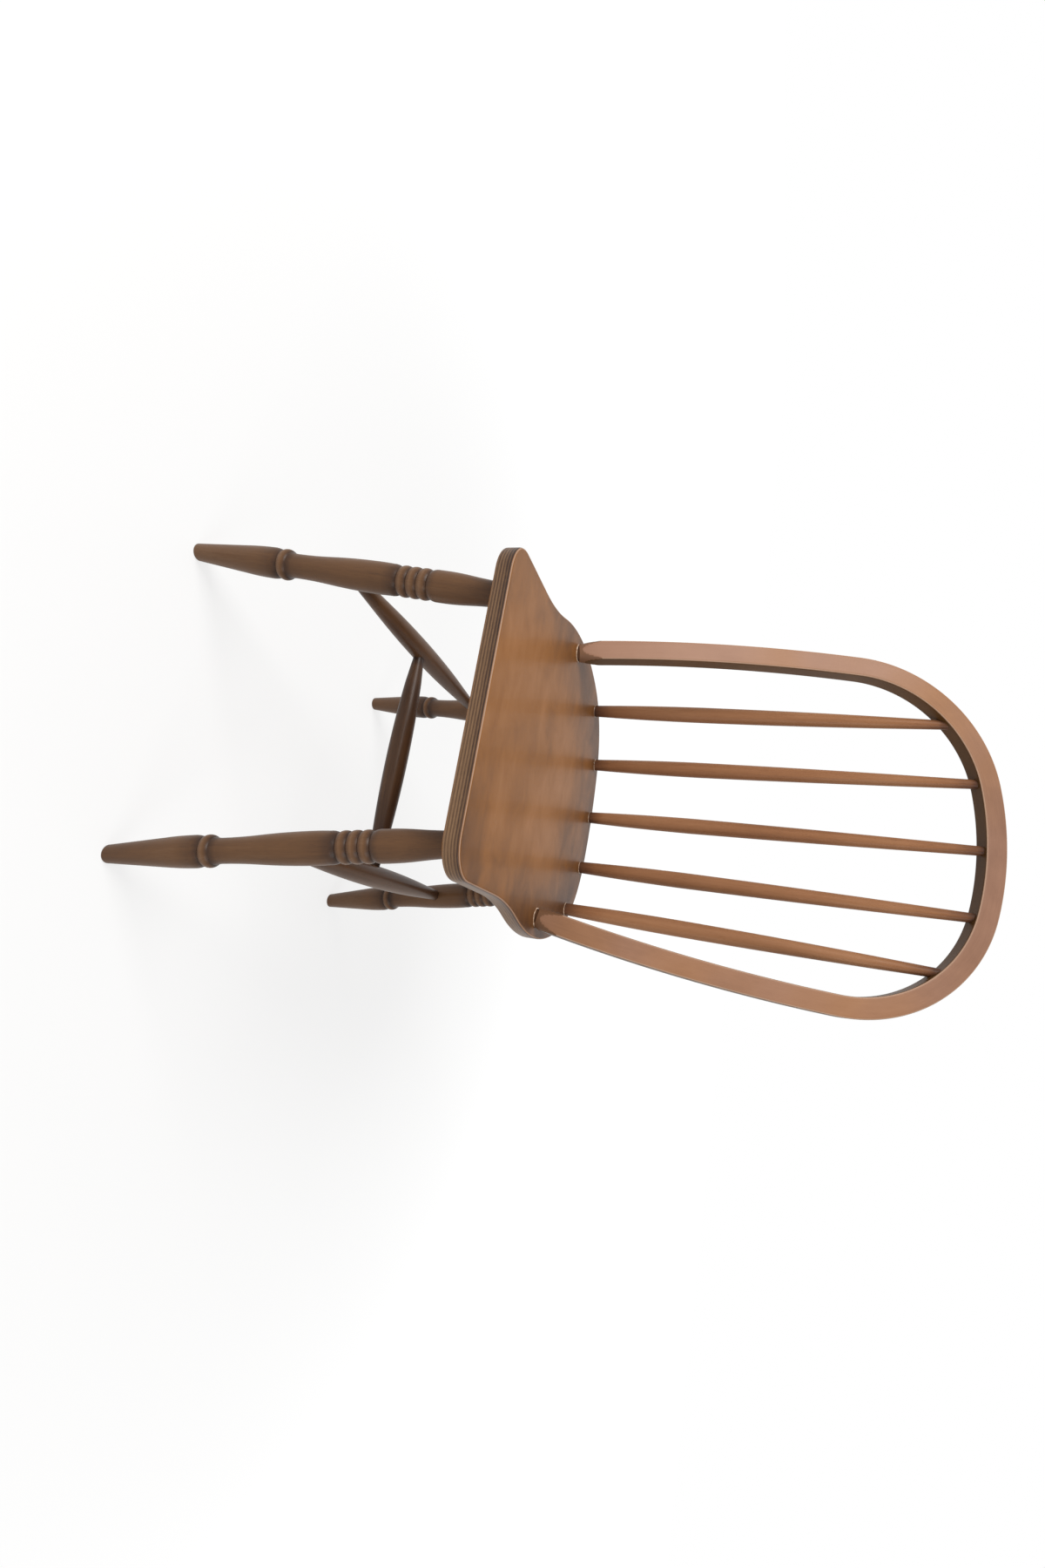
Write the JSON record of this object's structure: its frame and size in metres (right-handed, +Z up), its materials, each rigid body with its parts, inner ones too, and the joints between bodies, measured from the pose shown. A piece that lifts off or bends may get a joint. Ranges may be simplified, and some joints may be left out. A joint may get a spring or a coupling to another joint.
{
  "type": "windsor chair",
  "caption": "Wooden side chair with a hooped back, turned spindles, a shaped plywood seat and splayed turned legs braced by stretchers.",
  "frame": {"origin": "on the floor, under the middle of the chair's bounding box", "axes": "+Z up, +Y to the back of the chair, +X to the right as seen from in front"},
  "size_m": [0.4692, 0.521, 0.985],
  "materials": {
    "seat_face": "stained mid brown, satin lacquer",
    "seat_core": "stained plywood edge, satin lacquer",
    "turned_wood": "stained brown, satin lacquer",
    "spindle_wood": "stained brown, satin lacquer",
    "bow_wood": "stained pinkish brown, satin lacquer",
    "wedge_wood": "bare hardwood"
  },
  "bodies": {
    "root": {"seat_top_ply": "seat_face", "seat_core": "seat_core", "seat_bottom_ply": "seat_face", "leg_front_left": "turned_wood", "leg_front_right": "turned_wood", "leg_rear_left": "turned_wood", "leg_rear_right": "turned_wood", "side_stretcher_left": "turned_wood", "side_stretcher_right": "turned_wood", "cross_stretcher": "turned_wood", "bow": "bow_wood", "spindle_1": "spindle_wood", "spindle_2": "spindle_wood", "spindle_3": "spindle_wood", "spindle_4": "spindle_wood", "spindle_5": "spindle_wood", "leg_wedges": "wedge_wood", "bow_wedges": "wedge_wood"}
  },
  "joints": []
}
